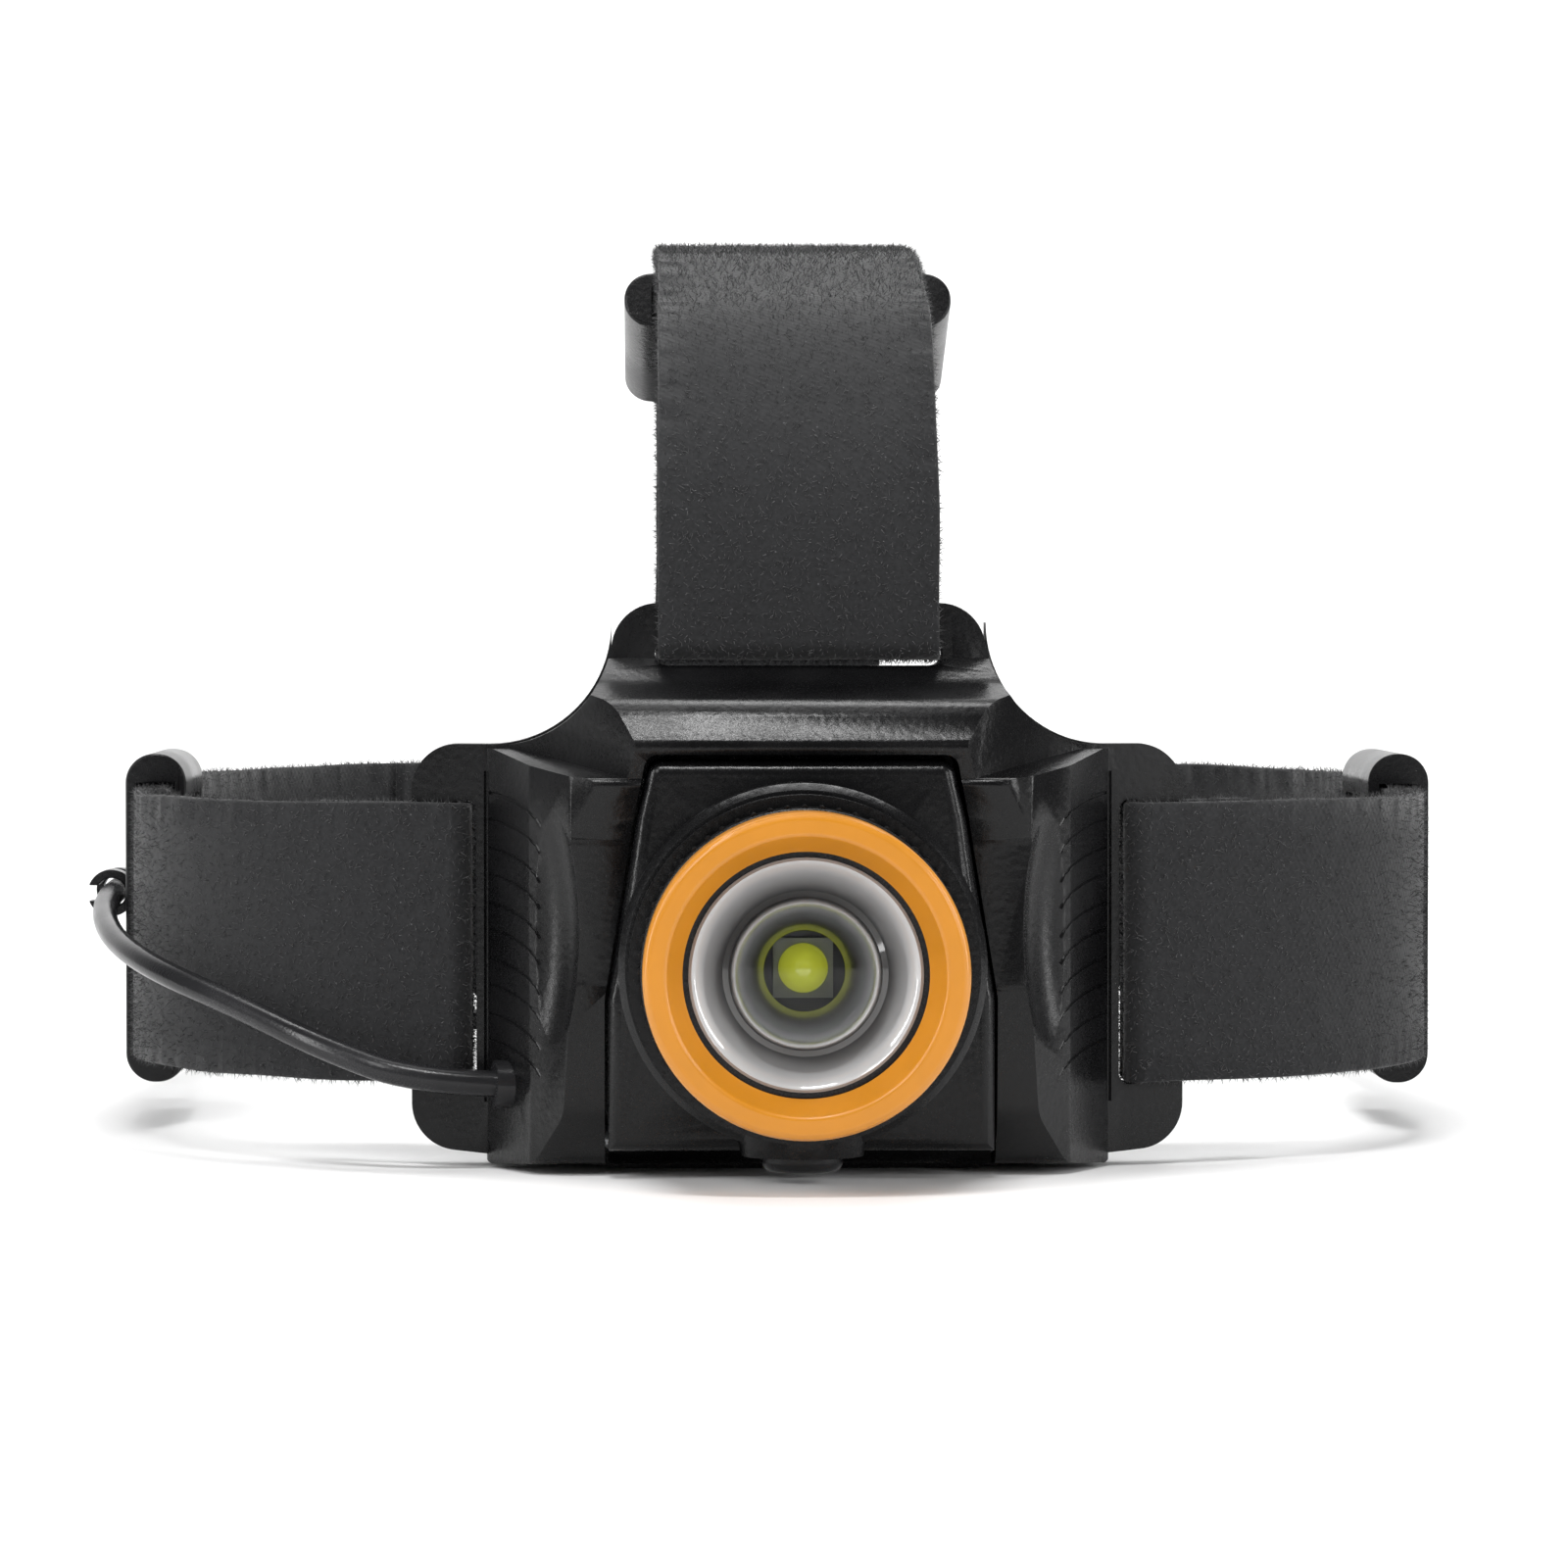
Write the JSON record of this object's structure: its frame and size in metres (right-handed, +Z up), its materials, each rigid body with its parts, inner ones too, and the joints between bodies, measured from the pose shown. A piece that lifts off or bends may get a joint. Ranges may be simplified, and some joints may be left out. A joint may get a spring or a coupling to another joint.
{
  "type": "headlamp",
  "caption": "Headlamp on an elastic head band, with a tilting focusing head, an over-head strap, strap sliders and a rear battery case.",
  "frame": {"origin": "middle of the front bracket's flat underside, level with the wings' front over their strap slots", "axes": "+Y from the lamp towards the battery case, +X to the right as seen from the front, +Z up"},
  "size_m": [0.1559, 0.2411, 0.1034],
  "materials": {
    "housing_black": "grained semi-gloss black plastic",
    "inner_black": "matte black plastic",
    "strap_fabric": "charcoal elastic with a soft pile",
    "pad_foam": "fabric-faced foam",
    "ring_orange": "satin orange",
    "steel": "bright steel",
    "aluminium": "machined aluminium",
    "board_white": "white solder mask",
    "board_green": "green solder mask",
    "clear_lens": "clear polished plastic",
    "led_yellow": "phosphor under silicone",
    "rubber_black": "black rubber",
    "cell_jacket": "printed-free cell jacket"
  },
  "bodies": {
    "headband": {"bracket_shell": "housing_black", "back_plate": "inner_black", "back_plate_screws": "steel", "forehead_pad": "pad_foam", "hinge_pins": "steel", "cable_gland": "rubber_black", "band_left": "strap_fabric", "band_right": "strap_fabric", "band_left_tail": "strap_fabric", "band_right_tail": "strap_fabric", "top_strap": "strap_fabric", "top_strap_tail": "strap_fabric", "lamp_cable": "rubber_black", "battery_case": "housing_black", "case_gland": "rubber_black", "rear_pad": "pad_foam", "contact_springs": "steel", "contact_plates": "steel", "cell_1": "cell_jacket", "cell_2": "cell_jacket", "cell_3": "cell_jacket", "door_hinge_pin": "steel"},
    "head": {"head_housing": "housing_black", "head_cover": "inner_black", "cover_gasket": "rubber_black", "head_cover_screws": "steel", "focus_barrel": "inner_black", "heat_sink": "aluminium", "led_board": "board_white", "led_package": "board_white", "led_dome": "led_yellow", "driver_board": "board_green", "switch_board": "board_green", "tact_switch": "steel"},
    "focus": {"focus_ring": "ring_orange", "grip_ring": "housing_black"},
    "carrier": {"lens_carrier": "inner_black", "lens": "clear_lens", "lens_retainer": "inner_black"},
    "button": {"power_button": "rubber_black"},
    "left_slider": {"left_slider": "housing_black", "cable_clip": "housing_black"},
    "right_slider": {"right_slider": "housing_black"},
    "top_slider": {"top_slider": "housing_black"},
    "door": {"battery_door": "housing_black", "door_seal": "rubber_black"},
    "latch": {"door_latch": "housing_black"}
  },
  "joints": [
    {"name": "head_tilt", "type": "hinge", "parent": "headband", "child": "head", "pos_m": [0, -0.0052, 0.0034], "axis": [1, 0, 0], "range_deg": [0, 60]},
    {"name": "focus_turn", "type": "hinge", "parent": "head", "child": "focus", "pos_m": [0, -0.036, 0.0226], "axis": [0, -1, 0], "range_deg": [0, 120]},
    {"name": "lens_slide", "type": "slide", "parent": "head", "child": "carrier", "axis": [0, 1, 0], "range_m": [0, 0.0045]},
    {"name": "button_press", "type": "slide", "parent": "head", "child": "button", "axis": [0, 0, 1], "range_m": [0, 0.001], "stiffness_N_per_m": 400},
    {"name": "left_slider_slide", "type": "slide", "parent": "headband", "child": "left_slider", "axis": [0, 1, 0], "range_m": [0, 0.012]},
    {"name": "right_slider_slide", "type": "slide", "parent": "headband", "child": "right_slider", "axis": [0, 1, 0], "range_m": [-0.004, 0.014]},
    {"name": "top_slider_slide", "type": "slide", "parent": "headband", "child": "top_slider", "axis": [0, 0.951, -0.3091], "range_m": [-0.001, 0.008]},
    {"name": "door_hinge", "type": "hinge", "parent": "headband", "child": "door", "pos_m": [0.0304, 0.1992, 0.0205], "axis": [0, 0, -1], "range_deg": [0, 100]},
    {"name": "latch_slide", "type": "slide", "parent": "door", "child": "latch", "axis": [1, 0, 0], "range_m": [0, 0.002]}
  ],
  "couplings": [
    {"joint": "lens_slide", "follows": "focus_turn", "m_per_rad": 0.002149}
  ]
}
